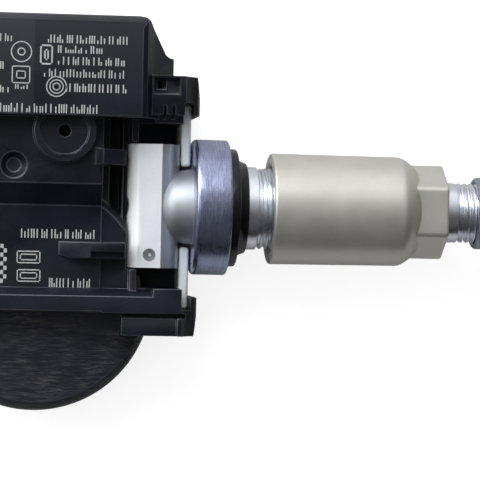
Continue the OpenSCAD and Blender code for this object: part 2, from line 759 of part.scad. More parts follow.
// Threaded plug of the core, with the pin's bore and two air slots
module core_plug() {
    color([0.8, 0.65, 0.35])
        difference() {
            rod(PLUG_BACK, PLUG_FRONT, CORE_R - 0.02);
            rod(PLUG_BACK - 1, PLUG_FRONT + 1, PIN_R + run_gap);
            for (y = [-1, 1])
                translate([0, y * 1.55, 0])
                    rod(PLUG_BACK - 1, PLUG_FRONT + 1, 0.55);
        }
}

module core_barrel() {
    color([0.78, 0.62, 0.33])
        difference() {
            rod(BARREL_BACK, PLUG_BACK, BARREL_R);
            rod(BARREL_BACK - 1, PLUG_BACK + 1, 1.25);
        }
}

module barrel_seal() {
    color([0.75, 0.2, 0.15])
        difference() {
            rod(PLUG_BACK - 3.2, PLUG_BACK - 1.2, BARREL_BORE);
            rod(PLUG_BACK - 4, PLUG_BACK, BARREL_R);
        }
}

// Point number k of the wire's ring number i, along the spring's helix
function wire_point(i, k, length) =
    let (
        turn = 360 * i / RING_STEPS,
        side = 360 * k / WIRE_SIDES,
        r = SPRING_R + WIRE_R * cos(side)
    )
    [length * i / (RING_STEPS * SPRING_TURNS) + WIRE_R * sin(side), r * cos(turn), r * sin(turn)];

// Coil spring round the pin, swept as one closed tube
module core_spring() {
    rings = RING_STEPS * SPRING_TURNS;
    points = [for (i = [0:rings]) for (k = [0:WIRE_SIDES - 1]) wire_point(i, k, BARREL_LEN - 2)];
    sides = [
        for (i = [0:rings - 1]) for (k = [0:WIRE_SIDES - 1])
            let (n = (k + 1) % WIRE_SIDES)
            [i * WIRE_SIDES + k, i * WIRE_SIDES + n, (i + 1) * WIRE_SIDES + n, (i + 1) * WIRE_SIDES + k]
    ];
    start = [for (k = [WIRE_SIDES - 1:-1:0]) k];
    finish = [for (k = [0:WIRE_SIDES - 1]) rings * WIRE_SIDES + k];
    color([0.7, 0.7, 0.72])
        translate([BARREL_BACK + 1, 0, 0])
            polyhedron(points, concat([start], sides, [finish]));
}

module core_pin() {
    color([0.85, 0.72, 0.42])
        union() {
            rod(PIN_BACK, mouth_tip_x - PIN_SHOW, PIN_R);
            rod(mouth_tip_x - PIN_SHOW - 0.45, mouth_tip_x - PIN_SHOW, PIN_R + 0.25);
        }
}

module core_cup() {
    color([0.12, 0.12, 0.12])
        difference() {
            rod(CUP_BACK, CUP_BACK + CUP_LEN, BARREL_R - 0.05);
            rod(PIN_BACK, BARREL_BACK + 1, PIN_R);
        }
}

// Sleeve nut: drafted sleeve, round shoulder and a hexagon with turned corners
module sleeve_nut() {
    color([0.72, 0.71, 0.66])
        difference() {
            union() {
                turned([
                    [nut_x, 0], [nut_x, nut_r - 0.5], [nut_x + 0.12, nut_r - 0.22],
                    [nut_x + 0.35, nut_r - 0.03], [nut_x + 0.6, nut_r + 0.03],
                    [NUT_SHOULDER, nut_r - 0.06], [NUT_SHOULDER + 0.6, nut_r - 0.17],
                    [NUT_SHOULDER + 1.2, nut_r - 0.45], [HEX_START + 0.4, nut_r - 0.92],
                    [HEX_START + 1.2, hex_af / 2 - 0.1], [HEX_START + 1.2, 0]
                ]);
                intersection() {
                    translate([HEX_START - 0.6, 0, 0])
                        rotate([0, 90, 0])
                            rotate([0, 0, 30])
                                cylinder(h = HEX_END - HEX_START + 0.6, r = hex_af / sqrt(3), $fn = 6);
                    turned([
                        [HEX_START - 0.7, 0], [HEX_START - 0.7, HEX_CORNER], [HEX_END - 0.3, HEX_CORNER],
                        [HEX_END, HEX_CORNER - 0.3], [HEX_END, 0]
                    ]);
                }
            }
            turned([
                [nut_x - 1, 0], [nut_x - 1, NUT_COUNTER + 0.3], [nut_x, NUT_COUNTER + 0.3],
                [nut_x + 0.3, NUT_COUNTER], [nut_x + NUT_COUNTER_DEEP, NUT_COUNTER],
                [nut_x + NUT_COUNTER_DEEP + 0.3, NUT_BORE], [NUT_STEP, NUT_BORE],
                [NUT_STEP + 1.2, NUT_NOSE_BORE],
                [HEX_END + 1, NUT_NOSE_BORE], [HEX_END + 1, 0]
            ]);
        }
}

module cap_seal() {
    color([0.15, 0.15, 0.16])
        rod(SEAL_BACK, SEAL_BACK + SEAL_T, CAP_BORE - 0.3 - run_gap);
}

// Knurled dust cap: a turned cup with shallow grip flutes
module valve_cap() {
    flutes = 24;
    color([0.5, 0.53, 0.58])
        difference() {
            turned([
                [CAP_X, 0], [CAP_X, cap_r - 0.6], [CAP_X + 0.6, cap_r - 0.08], [CAP_X + 1.4, cap_r - 0.08],
                [CAP_X + 1.6, cap_r], [CAP_END - 1.6, cap_r], [CAP_END - 1.4, cap_r - 0.1],
                [CAP_END - 0.6, cap_r - 0.15], [CAP_END, cap_r - 0.8], [CAP_END, 0]
            ]);
            turned([
                [CAP_X - 1, 0], [CAP_X - 1, CAP_BORE + 0.3], [CAP_X + 0.3, CAP_BORE],
                [SEAL_BACK, CAP_BORE], [SEAL_BACK + SEAL_T, CAP_BORE - 0.3], [SEAL_BACK + SEAL_T, 0]
            ]);
            for (i = [0:flutes - 1])
                rotate([i * 360 / flutes, 0, 0])
                    translate([0, 0, cap_r + 0.12])
                        rod(CAP_X + 2.0, CAP_END - 2.0, 0.3);
        }
}

housing_shell();
potting_compound();
circuit_board();
battery_can();
battery_lid();
battery_gasket();
battery_tab_positive();
battery_tab_negative();
sensor_chip();
port_seal();
lf_coil_core();
lf_coil_winding();
rf_antenna();
quartz_crystal();
chip_capacitors();
retaining_plate();
valve_stem();
support_collar();
rubber_grommet();
core_plug();
core_barrel();
barrel_seal();
core_spring();
core_pin();
core_cup();
sleeve_nut();
cap_seal();
valve_cap();
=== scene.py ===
"""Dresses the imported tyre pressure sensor: threads, rounded mouldings, plain print, finishes, lamps and
camera."""

import math

import bmesh
import bpy
import numpy as np
from mathutils import Matrix, Vector


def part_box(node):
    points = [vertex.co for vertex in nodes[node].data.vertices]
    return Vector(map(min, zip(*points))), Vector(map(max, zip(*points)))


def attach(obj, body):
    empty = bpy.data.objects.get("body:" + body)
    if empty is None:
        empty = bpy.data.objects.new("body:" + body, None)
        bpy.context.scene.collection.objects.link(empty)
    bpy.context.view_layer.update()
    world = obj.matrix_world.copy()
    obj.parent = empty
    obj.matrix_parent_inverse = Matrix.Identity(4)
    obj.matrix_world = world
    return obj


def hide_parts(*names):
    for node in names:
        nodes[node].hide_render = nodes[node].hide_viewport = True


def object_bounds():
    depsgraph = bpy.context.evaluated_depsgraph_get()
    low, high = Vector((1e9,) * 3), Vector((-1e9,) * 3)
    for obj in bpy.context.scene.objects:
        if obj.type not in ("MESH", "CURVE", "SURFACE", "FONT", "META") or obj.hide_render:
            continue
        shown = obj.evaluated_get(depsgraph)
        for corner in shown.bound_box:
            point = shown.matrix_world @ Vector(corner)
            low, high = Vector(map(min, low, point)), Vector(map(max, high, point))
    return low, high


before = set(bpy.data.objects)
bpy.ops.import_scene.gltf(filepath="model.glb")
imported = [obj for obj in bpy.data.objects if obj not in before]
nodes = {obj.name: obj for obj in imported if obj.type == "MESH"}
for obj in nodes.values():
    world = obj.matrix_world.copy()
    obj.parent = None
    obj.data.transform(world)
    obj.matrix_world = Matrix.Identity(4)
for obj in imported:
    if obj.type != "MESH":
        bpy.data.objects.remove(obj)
cad_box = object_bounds()
MM = 0.001

# Stem, valve core and cap as the solids have them, in millimetres, with X from the rim seat
STEM_CUT = -3.0
SHANK_R = 5.32
THREAD_R = 5.21
MOUTH_R = 3.87
CONE_LEN = 1.3
THREAD_START = CONE_LEN + 1.8
THREAD_END = 16.5
CAP_X = 31.2
CAP_END = 39.6
CAP_R = 4.75
CAP_BORE = 3.92
SEAL_FACE = 38.02
TIP_X = 36.5
SEAT_X = 16.9
PLUG_BACK = 30.2
BORE_R = 1.3
BARREL_BORE = 2.1
CORE_R = 2.6
SHANK_PITCH = 0.75
MOUTH_PITCH = 0.794
MOUTH_START = 28.4
SHANK_DEPTH = 0.40
MOUTH_DEPTH = 0.38
ROUND_SIDES = 120
FLUTES = 24
FLUTE_R = 0.3
FLUTE_OUT = 0.12

# Sleeve nut, collar and grommet
NUT_X = 4.4
NUT_R = 7.12
NUT_SHOULDER = 20.9
HEX_START = 22.3
HEX_END = 27.1
HEX_FLAT = 5.35
HEX_ROUND = 0.8
NUT_ROUND = 0.3
NUT_COUNTER = 5.62
NUT_BORE = 5.26
NUT_NOSE = 4.12
COLLAR_BACK = -5.7
COLLAR_FRONT = -1.15
COLLAR_R = 8.68
COLLAR_BORE = 5.37
FLANGE_R = 7.57

# Cross head: its pivot and radius, the flat's lean and level, the dimple's place and cone
PIVOT_X = -10.62
HEAD_R = 3.35
FLAT_LEAN = math.radians(11)
FLAT_LEVEL = 2.995
DIMPLE_Y = -6.25
DIMPLE_RIM = 0.82
DIMPLE_BOTTOM = 0.2
DIMPLE_DEEP = 0.75

# Rounding of edges that are sharper than SHARP degrees, none near the place where the lobe's rim ends in a
# step, and less than all at an edge that has less than ROOM_NEEDED widths of free length beside it
HOUSING_ROUND = 0.11
PLATE_ROUND = 0.35
SHARP = 30
RIM_STEP = (-13.6, -18.4)
STEP_REACH = 1.6
ROOM_NEEDED = 2.3

# Print: heights of its surfaces above the stem axis, its lift and thickness, its strokes and first seed
BLOCK_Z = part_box("housing_shell")[1][2] / MM
FLOOR_Z = 2.5
LIFT = 0.004
INK = 0.012
TICK = 0.15
STROKE = 0.13
RING_SIDES = 40
FIRST_SEED = 11

# Photograph's frame and view: the seat's pixel, the roll and lean of the view, the camera's distance
PIXELS_PER_MM = 7.75
FRAME_PIXELS = 480
SEAT_PIXEL = (234.75, 208.0)
ROLL = math.radians(1.2)
LEAN = math.radians(6.5)
CAMERA_FAR = 330.0
SENSOR_WIDE = 36.0

# Room: its light on matt surfaces and the floor's share in reflections, where 1 is white, the floor's
# half-width and its gap under the part in metres, and the place on the X axis in mm that the lamps face
AMBIENT = 0.57
FLOOR_IN_MIRROR = 0.05
FLOOR_REACH = 3.0
FLOOR_GAP = 0.0002
LAMPS_AIM_X = -8.0


def view_frame():
    """The camera's aim in mm and its right, up and backward directions."""
    dx, dy = FRAME_PIXELS / 2 - SEAT_PIXEL[0], FRAME_PIXELS / 2 - SEAT_PIXEL[1]
    cos, sin = math.cos(ROLL), math.sin(ROLL)
    aim = np.array([dx * cos + dy * sin, dx * sin - dy * cos, 0])
    back = np.array([-math.sin(LEAN), 0, math.cos(LEAN)])
    right = np.cross([-sin, cos, 0], back)
    right /= np.linalg.norm(right)
    return aim / PIXELS_PER_MM, right, np.cross(back, right), back


def pixel_to_plan(px, py, height):
    """Plan place in mm where the camera's ray through a pixel of the photograph meets a level surface."""
    aim, right, up, back = view_frame()
    across, above = px - FRAME_PIXELS / 2, FRAME_PIXELS / 2 - py
    ray = (right * across + up * above) / (PIXELS_PER_MM * CAMERA_FAR) - back
    eye = aim + back * CAMERA_FAR
    place = eye + ray * (height - eye[2]) / ray[2]
    return place[0], place[1]


def add_object(name, verts, faces, body):
    """Makes a mesh object from vertices in mm and faces, and lets it ride on a body."""
    corners = (np.asarray(verts, float) * MM).tolist()
    mesh = bpy.data.meshes.new(name)
    mesh.from_pydata(corners, [], [tuple(f) for f in np.asarray(faces).tolist()])
    mesh.validate()
    obj = bpy.data.objects.new(name, mesh)
    bpy.context.scene.collection.objects.link(obj)
    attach(obj, body)
    return obj


def smooth(obj, degrees):
    """Shades smooth, with edges sharper than an angle kept crisp."""
    mesh = obj.data
    mesh.polygons.foreach_set("use_smooth", np.ones(len(mesh.polygons), bool))
    mesh.set_sharp_from_angle(angle=math.radians(degrees))
    mesh.update()


def ring_grid(rows, cols):
    """Quads of a grid whose rows and columns both close on themselves, as on a torus."""
    i, j = np.meshgrid(np.arange(rows), np.arange(cols), indexing="ij")
    a = i * cols + j
    b = i * cols + (j + 1) % cols
    c = ((i + 1) % rows) * cols + (j + 1) % cols
    d = ((i + 1) % rows) * cols + j
    return np.stack([a, b, c, d], -1).reshape(-1, 4)


def thread_cut(x, angle, start, end, pitch, depth):
    """Depth of a right-hand thread's groove: a cosine raised to 1.4, so that crests stay broad, which
    repeats each pitch along x, moves one pitch per turn of the angle, and fades in and out over a pitch at
    both ends."""
    phase = (x - start) / pitch - angle / (2 * math.pi)
    groove = (0.5 - 0.5 * np.cos(2 * math.pi * phase)) ** 1.4
    fade = np.clip((x - start) / pitch, 0, 1) * np.clip((end - x) / pitch, 0, 1)
    return depth * groove * fade


def closed_profile():
    """Loop of the stem's section in front of the cut: out along the outside to the tip, back through the
    stepped bore. Stretches with a thread are sampled ten times a pitch."""
    outside = [
        [STEM_CUT, SHANK_R], [CONE_LEN + 1.25, SHANK_R], [CONE_LEN + 1.33, SHANK_R - 0.06],
        [CONE_LEN + 1.5, THREAD_R - 0.42], [THREAD_START - 0.12, THREAD_R - 0.42]
    ]
    shank = np.arange(THREAD_START, THREAD_END, SHANK_PITCH / 10)
    between = [
        [THREAD_END, THREAD_R], [THREAD_END + 1.3, MOUTH_R], [MOUTH_START - 0.2, MOUTH_R]
    ]
    mouth = np.arange(MOUTH_START, TIP_X - 0.5, MOUTH_PITCH / 10)
    inside = [
        [TIP_X - 0.5, MOUTH_R], [TIP_X, MOUTH_R - 0.5], [TIP_X, CORE_R], [PLUG_BACK, CORE_R],
        [PLUG_BACK, BARREL_BORE], [SEAT_X, BARREL_BORE], [SEAT_X, BORE_R], [STEM_CUT, BORE_R]
    ]
    return np.array(
        outside + [[x, THREAD_R] for x in shank] + between + [[x, MOUTH_R] for x in mouth] + inside
    )


def turned_points(x, r, angle):
    """Points in mm round the stem axis: place x[i] of a section at radius r[i, j] for angle[j], the angle
    counted from +Y to +Z."""
    x, a = np.meshgrid(x, angle, indexing="ij")
    return np.stack([x, r * np.cos(a), r * np.sin(a)], -1).reshape(-1, 3)


def stem_front():
    """Turned front of the stem: each point of the section goes round the axis, at its radius less the
    groove of the shank's or the mouth's thread."""
    loop = closed_profile()
    angle = np.linspace(0, 2 * math.pi, ROUND_SIDES, endpoint=False)
    x, a = np.meshgrid(loop[:, 0], angle, indexing="ij")
    r = np.repeat(loop[:, 1][:, None], ROUND_SIDES, 1)
    on_shank = np.isclose(r, THREAD_R) & (x >= THREAD_START) & (x <= THREAD_END)
    on_mouth = np.isclose(r, MOUTH_R) & (x >= MOUTH_START)
    r = r - on_shank * thread_cut(x, a, THREAD_START - 0.2, THREAD_END, SHANK_PITCH, SHANK_DEPTH)
    r = r - on_mouth * thread_cut(x, a, MOUTH_START, TIP_X, MOUTH_PITCH, MOUTH_DEPTH)
    return turned_points(loop[:, 0], r, angle), ring_grid(len(loop), ROUND_SIDES)


def neck_dome():
    """Rounded neck between the cross head and the collar: a closed turned shell, each point of its
    section at one radius all the way round, with both ends inside the solid metal."""
    loop = np.array([
        [-9.9, 2.2], [-9.75, 2.6], [-9.62, 2.95], [-9.5, 3.2], [-9.3, 3.45], [-8.95, 3.85], [-8.55, 4.2],
        [-8.1, 4.42], [-7.7, 4.52], [-7.25, 4.61], [-6.75, 4.73], [-6.2, 4.81], [-5.6, 4.89], [-5.6, 2.2]
    ])
    angle = np.linspace(0, 2 * math.pi, ROUND_SIDES, endpoint=False)
    return turned_points(loop[:, 0], loop[:, 1][:, None], angle), ring_grid(len(loop), ROUND_SIDES)


def turned_piece(name, x, r, angle, body, node, axis_row=None):
    """A closed shell about the stem axis that stands for a node: point i of the section loop goes round at
    radius r[i, j] for angle j. The row whose edge lies on the axis gets no faces."""
    points = turned_points(x, r, angle)
    faces = ring_grid(len(x), len(angle))
    if axis_row is not None:
        faces = np.delete(faces, np.arange(axis_row * len(angle), (axis_row + 1) * len(angle)), 0)
    obj = add_object(name, points, faces, body)
    bm = bmesh.new()
    bm.from_mesh(obj.data)
    bmesh.ops.remove_doubles(bm, verts=bm.verts, dist=1e-8)
    bm.to_mesh(obj.data)
    bm.free()
    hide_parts(node)
    return obj


def hexagon_radius(angle):
    """Polar radius of a hexagon with rounded corners at 0, 60, 120 degrees and so on: the flat's distance
    over the cosine of the angle to its middle, and near a corner the arc that touches both flats."""
    turn = np.abs((angle + math.pi / 6) % (math.pi / 3) - math.pi / 6)
    centre = (HEX_FLAT - HEX_ROUND) / math.cos(math.pi / 6)
    touch = math.atan2(HEX_ROUND / 2, centre + HEX_ROUND * math.cos(math.pi / 6))
    arc = centre * np.cos(turn) + np.sqrt(np.maximum(HEX_ROUND ** 2 - (centre * np.sin(turn)) ** 2, 0))
    return np.where(turn < touch, arc, HEX_FLAT / np.cos(math.pi / 6 - turn))


def end_round(inward):
    """How far the nut's rim falls at a distance inward from its end face: the quarter circle of radius
    NUT_ROUND, NUT_ROUND (1 - sqrt(1 - s^2)) with s = 1 - inward / NUT_ROUND, and nothing past it."""
    share = np.maximum(1 - inward / NUT_ROUND, 0)
    return NUT_ROUND * (1 - np.sqrt(np.maximum(1 - share ** 2, 0)))


def make_nut():
    """Sleeve nut: radius along X from a turned profile, and past the shoulder's crest the larger of it and
    the hexagon, so that the falling shoulder meets the flats in scallops; both ends are rounded by a
    quarter circle."""
    turn = np.linspace(0, math.pi / 2, 7)
    x = np.concatenate([
        NUT_X + NUT_ROUND * (1 - np.cos(turn)), [NUT_X + 0.34, NUT_X + 0.5],
        np.linspace(NUT_X + 1.5, NUT_SHOULDER - 0.4, 8), NUT_SHOULDER + np.linspace(0, 1.2, 9),
        np.arange(HEX_START - 0.1, HEX_START + 1.4, 0.045), [HEX_START + 2, HEX_END - 0.6],
        HEX_END - NUT_ROUND + NUT_ROUND * np.sin(turn)
    ])
    sleeve = [[NUT_X, 0.03], [NUT_X + 0.5, 0.03]]
    shoulder = [[0, -0.06], [0.35, -0.09], [0.7, -0.21], [1.0, -0.36], [1.3, -0.56]]
    fall = [[0.4, -0.94], [0.8, -1.35], [1.2, -1.8], [1.25, -NUT_R]]
    places = np.array(
        sleeve + [[NUT_SHOULDER + a, b] for a, b in shoulder] + [[HEX_START + a, b] for a, b in fall])
    profile = np.interp(x, places[:, 0], NUT_R + places[:, 1]) - end_round(x - NUT_X)
    sector = np.radians([
        0, 1, 2, 3, 3.85, 5, 8, 12, 16, 20, 25, 30, 35, 40, 44, 48, 52, 55, 56.15, 57, 58, 59])
    angle = (np.arange(6)[:, None] * math.pi / 3 + sector).ravel()
    hexagon = hexagon_radius(angle)[None] - end_round(HEX_END - x)[:, None]
    r = np.where((x < HEX_START)[:, None], profile[:, None], np.maximum(profile[:, None], hexagon))
    bore = np.array([
        [HEX_END, NUT_NOSE + NUT_ROUND], [HEX_END - NUT_ROUND, NUT_NOSE],
        [THREAD_END + 5.4, NUT_NOSE], [THREAD_END + 4.2, NUT_BORE],
        [NUT_X + 1.9, NUT_BORE], [NUT_X + 1.6, NUT_COUNTER],
        [NUT_X + NUT_ROUND, NUT_COUNTER], [NUT_X, NUT_COUNTER + NUT_ROUND]
    ])
    x = np.concatenate([x, bore[:, 0]])
    r = np.concatenate([r, np.repeat(bore[:, 1][:, None], len(angle), 1)])
    return turned_piece("sleeve_nut_rounded", x, r, angle, "nut", "sleeve_nut")


def make_collar():
    """Support collar: one turned section with rounded rims, the same all the way round."""
    turn = np.linspace(0, math.pi / 2, 6)
    back = np.stack([COLLAR_BACK + 0.5 * (1 - np.cos(turn)), COLLAR_R - 0.42 + 0.42 * np.sin(turn)], 1)
    front = np.stack([COLLAR_FRONT - 0.3 * (1 - np.sin(turn)), COLLAR_R - 0.3 + 0.3 * np.cos(turn)], 1)
    loop = np.concatenate([
        [[COLLAR_BACK, COLLAR_BORE]], back, [[-4.2, COLLAR_R], [-2.6, COLLAR_R]], front,
        [[COLLAR_FRONT, COLLAR_BORE]]
    ])
    angle = np.linspace(0, 2 * math.pi, 160, endpoint=False)
    r = np.repeat(loop[:, 1][:, None], len(angle), 1)
    return turned_piece(
        "support_collar_rounded", loop[:, 0], r, angle, "valve", "support_collar"
    )


def make_grommet():
    """Rubber grommet: flange with round rims, and a cone with a round nose that enters the rim hole."""
    turn = np.linspace(0, math.pi / 2, 6)
    flange = np.stack([COLLAR_FRONT + 0.2 * (1 - np.cos(turn)), FLANGE_R - 0.2 + 0.2 * np.sin(turn)], 1)
    front = np.stack([-0.28 + 0.28 * np.sin(turn), FLANGE_R - 0.28 + 0.28 * np.cos(turn)], 1)
    nose = np.stack([CONE_LEN - 0.3 + 0.3 * np.sin(turn), 5.56 + 0.3 * np.cos(turn)], 1)
    loop = np.concatenate([
        [[COLLAR_FRONT, SHANK_R]], flange, front, [[0, 6.55], [0.08, 6.3], [0.2, 6.16]], nose,
        [[CONE_LEN, SHANK_R]]
    ])
    angle = np.linspace(0, 2 * math.pi, 144, endpoint=False)
    r = np.repeat(loop[:, 1][:, None], len(angle), 1)
    return turned_piece(
        "rubber_grommet_moulded", loop[:, 0], r, angle, "valve", "rubber_grommet"
    )


def make_cap():
    """Valve cap: turned section, and on its middle 24 round-bottomed flutes, each a circle of FLUTE_R whose
    centre stands FLUTE_OUT outside the cap's radius."""
    turn = np.linspace(0, math.pi / 2, 6)
    outside = np.concatenate([
        [[CAP_X, CAP_BORE + 0.3]],
        np.stack([CAP_X + 0.45 * (1 - np.cos(turn)), CAP_R - 0.53 + 0.45 * np.sin(turn)], 1),
        [[CAP_X + 1.4, CAP_R - 0.08], [CAP_X + 1.6, CAP_R], [CAP_X + 1.95, CAP_R], [CAP_X + 2.05, CAP_R]],
        [[CAP_END - 2.05, CAP_R], [CAP_END - 1.95, CAP_R], [CAP_END - 1.6, CAP_R],
         [CAP_END - 1.4, CAP_R - 0.1]],
        np.stack([CAP_END - 0.8 * (1 - np.sin(turn)), CAP_R - 0.95 + 0.8 * np.cos(turn)], 1),
    ])
    inside = np.array([
        [CAP_END, 0], [SEAL_FACE, 0], [SEAL_FACE, CAP_BORE - 0.28], [SEAL_FACE - 1.1, CAP_BORE],
        [CAP_X + 0.3, CAP_BORE]
    ])
    loop = np.concatenate([outside, inside])
    step = 2 * math.pi / FLUTES
    sector = np.radians([-7.5, -3.3, -2.6, -1.6, -0.6, 0.6, 1.6, 2.6, 3.3])
    angle = (np.arange(FLUTES)[:, None] * step + sector).ravel()
    away = (angle + step / 2) % step - step / 2
    centre = CAP_R + FLUTE_OUT
    chord = np.sqrt(np.maximum(FLUTE_R ** 2 - (centre * np.sin(away)) ** 2, 0))
    depth = np.maximum(CAP_R - centre * np.cos(away) + chord, 0) * (np.abs(away) < math.radians(3.25))
    on_middle = (loop[:, 0] > CAP_X + 2) & (loop[:, 0] < CAP_END - 2) & (loop[:, 1] > CAP_BORE + 0.5)
    r = loop[:, 1][:, None] - on_middle[:, None] * depth
    return turned_piece(
        "valve_cap_rounded", loop[:, 0], r, angle, "cap", "valve_cap", axis_row=len(outside)
    )


def merged_copy(node, name):
    """A new mesh with the node's triangles joined at their corners, and flat runs of them made one face."""
    mesh = nodes[node].data.copy()
    mesh.name = name
    bm = bmesh.new()
    bm.from_mesh(mesh)
    bmesh.ops.remove_doubles(bm, verts=bm.verts, dist=2e-6)
    bmesh.ops.dissolve_limit(
        bm, angle_limit=math.radians(0.6), verts=bm.verts, edges=bm.edges, delimit={"NORMAL"}
    )
    bm.to_mesh(mesh)
    bm.free()
    mesh.materials.clear()
    return mesh


def bevel_shares(mesh, width):
    """Share of the full width, 0 to 1, that each edge's rounding may take: none where the faces meet at
    less than SHARP degrees or where the lobe's rim ends in a step, and less than all beside short edges,
    so that no rounding runs past its neighbours."""
    bm = bmesh.new()
    bm.from_mesh(mesh)
    ends = np.array([[v.index for v in e.verts] for e in bm.edges])
    angle = np.array([e.calc_face_angle(0.0) for e in bm.edges])
    length = np.array([e.calc_length() for e in bm.edges]) / MM
    bm.free()
    is_sharp = angle > math.radians(SHARP)
    corner = np.bincount(ends[is_sharp].ravel(), minlength=len(mesh.vertices)) != 2
    room = np.full(len(mesh.vertices), 99.0)
    for v in ends.T:
        tight = ~is_sharp | corner[v]
        np.minimum.at(room, v[tight], length[tight])
    share = np.minimum(room[ends[:, 0]], room[ends[:, 1]]) / (ROOM_NEEDED * width)
    place = np.array([v.co[:2] for v in mesh.vertices])[ends].mean(1) / MM
    at_step = np.linalg.norm(place - RIM_STEP, axis=1) < STEP_REACH
    return np.where(is_sharp & ~at_step, np.clip(share, 0, 1), 0)


def rounded_copy(node, name, body, width):
    """A copy of a node whose sharp edges are rounded by a narrow bevel, standing for the node."""
    mesh = merged_copy(node, name)
    obj = bpy.data.objects.new(name, mesh)
    bpy.context.scene.collection.objects.link(obj)
    mesh.attributes.new("bevel_weight_edge", "FLOAT", "EDGE").data.foreach_set(
        "value", bevel_shares(mesh, width).astype(np.float32))
    bevel = obj.modifiers.new("rounded_edges", "BEVEL")
    bevel.width = width * MM
    bevel.segments = 2
    bevel.limit_method = "WEIGHT"
    bevel.use_clamp_overlap = False
    bevel.harden_normals = False
    smooth(obj, 40)
    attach(obj, body)
    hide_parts(node)
    return obj


def widen_dimple(points):
    """The head's vertices in mm, with the dimple's steep wall laid out to a cone: its rim scaled to
    DIMPLE_RIM in the flat's plane, its bottom to DIMPLE_BOTTOM and raised to DIMPLE_DEEP under the flat."""
    axis = np.array([-math.sin(FLAT_LEAN), 0, math.cos(FLAT_LEAN)])
    offset = points - [PIVOT_X, DIMPLE_Y, 0]
    level = offset @ axis
    away = offset - level[:, None] * axis
    distance = np.linalg.norm(away, axis=1)
    inside = (distance < 0.75) & (level > FLAT_LEVEL - 1)
    rim = inside & (level > FLAT_LEVEL - 0.1)
    grown = np.where(rim, DIMPLE_RIM, DIMPLE_BOTTOM) / np.maximum(distance, 0.1)
    raised = np.where(rim, level, FLAT_LEVEL - DIMPLE_DEEP)
    moved = [PIVOT_X, DIMPLE_Y, 0] + away * grown[:, None] + raised[:, None] * axis
    return np.where(inside[:, None], moved, points)


def make_stem():
    """Cross head and neck from the solid, cut inside the collar, joined with the threaded front and the
    neck's dome. Returns the piece and the number of its first face on the dome."""
    bm = bmesh.new()
    bm.from_mesh(merged_copy("valve_stem", "stem_head_scratch"))
    cut = bmesh.ops.bisect_plane(
        bm, geom=bm.verts[:] + bm.edges[:] + bm.faces[:], dist=1e-7,
        plane_co=(STEM_CUT * MM, 0, 0), plane_no=(1, 0, 0), clear_outer=True
    )
    rim = [e for e in cut["geom_cut"] if isinstance(e, bmesh.types.BMEdge)]
    bmesh.ops.bridge_loops(bm, edges=rim)
    bmesh.ops.triangulate(bm, faces=bm.faces[:])
    head_points = widen_dimple(np.array([v.co[:] for v in bm.verts]) / MM)
    bm.verts.index_update()
    head_faces = [[v.index for v in f.verts] for f in bm.faces]
    bm.free()
    points, quads = stem_front()
    dome, dome_quads = neck_dome()
    verts = np.concatenate([head_points, points, dome])
    faces = head_faces + (quads + len(head_points)).tolist()
    faces += (dome_quads + len(head_points) + len(points)).tolist()
    mesh = bpy.data.meshes.new("valve_stem_threaded")
    mesh.from_pydata((verts * MM).tolist(), [], [tuple(f) for f in faces])
    mesh.validate()
    obj = bpy.data.objects.new("valve_stem_threaded", mesh)
    bpy.context.scene.collection.objects.link(obj)
    smooth(obj, 32)
    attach(obj, "valve")
    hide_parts("valve_stem")
    return obj, len(faces) - len(dome_quads)


def new_group(name, inputs, outputs):
    """A shader node group with named sockets, and its input and output nodes."""
    group = bpy.data.node_groups.new(name, "ShaderNodeTree")
    for label, kind, value in inputs:
        socket = group.interface.new_socket(name=label, in_out="INPUT", socket_type=kind)
        socket.default_value = value
    for label, kind in outputs:
        group.interface.new_socket(name=label, in_out="OUTPUT", socket_type=kind)
    return group, group.nodes.new("NodeGroupInput"), group.nodes.new("NodeGroupOutput")


def math_node(tree, operation, *values, clamp=False):
    """A Math node whose inputs are sockets or plain numbers."""
    n = tree.nodes.new("ShaderNodeMath")
    n.operation = operation
    n.use_clamp = clamp
    for i, value in enumerate(values):
        if isinstance(value, (int, float)):
            n.inputs[i].default_value = value
        else:
            tree.links.new(value, n.inputs[i])
    return n.outputs[0]


def times(tree, first, second, clamp=False):
    """The product of two sockets or numbers."""
    return math_node(tree, "MULTIPLY", first, second, clamp=clamp)


def parts_of(tree, vector):
    """The X, Y and Z of a vector socket."""
    axes = tree.nodes.new("ShaderNodeSeparateXYZ")
    tree.links.new(vector, axes.inputs[0])
    return axes.outputs


def noise_node(tree, vector, scale, detail, roughness=0.55, distortion=0.0):
    """A noise pattern on the given coordinates, its scale a socket or a number."""
    n = tree.nodes.new("ShaderNodeTexNoise")
    tree.links.new(vector, n.inputs["Vector"])
    if isinstance(scale, (int, float)):
        n.inputs["Scale"].default_value = scale
    else:
        tree.links.new(scale, n.inputs["Scale"])
    n.inputs["Detail"].default_value = detail
    n.inputs["Roughness"].default_value = roughness
    n.inputs["Distortion"].default_value = distortion
    return n.outputs["Fac"]


def stretched(tree, vector, scale):
    """The coordinates, stretched by a different factor along each axis."""
    m = tree.nodes.new("ShaderNodeMapping")
    tree.links.new(vector, m.inputs["Vector"])
    m.inputs["Scale"].default_value = scale
    return m.outputs["Vector"]


def mixed(tree, factor, low, high):
    """A colour between two colours, each a socket or four numbers."""
    n = tree.nodes.new("ShaderNodeMix")
    n.data_type = "RGBA"
    tree.links.new(factor, n.inputs[0])
    for socket, value in ((n.inputs[6], low), (n.inputs[7], high)):
        if isinstance(value, (tuple, list)):
            socket.default_value = value
        else:
            tree.links.new(value, socket)
    return n.outputs[2]


def ramp(tree, value, low, high):
    """The value, spread so that low gives 0 and high gives 1."""
    n = tree.nodes.new("ShaderNodeMapRange")
    tree.links.new(value, n.inputs["Value"])
    n.inputs["From Min"].default_value = low
    n.inputs["From Max"].default_value = high
    return n.outputs["Result"]


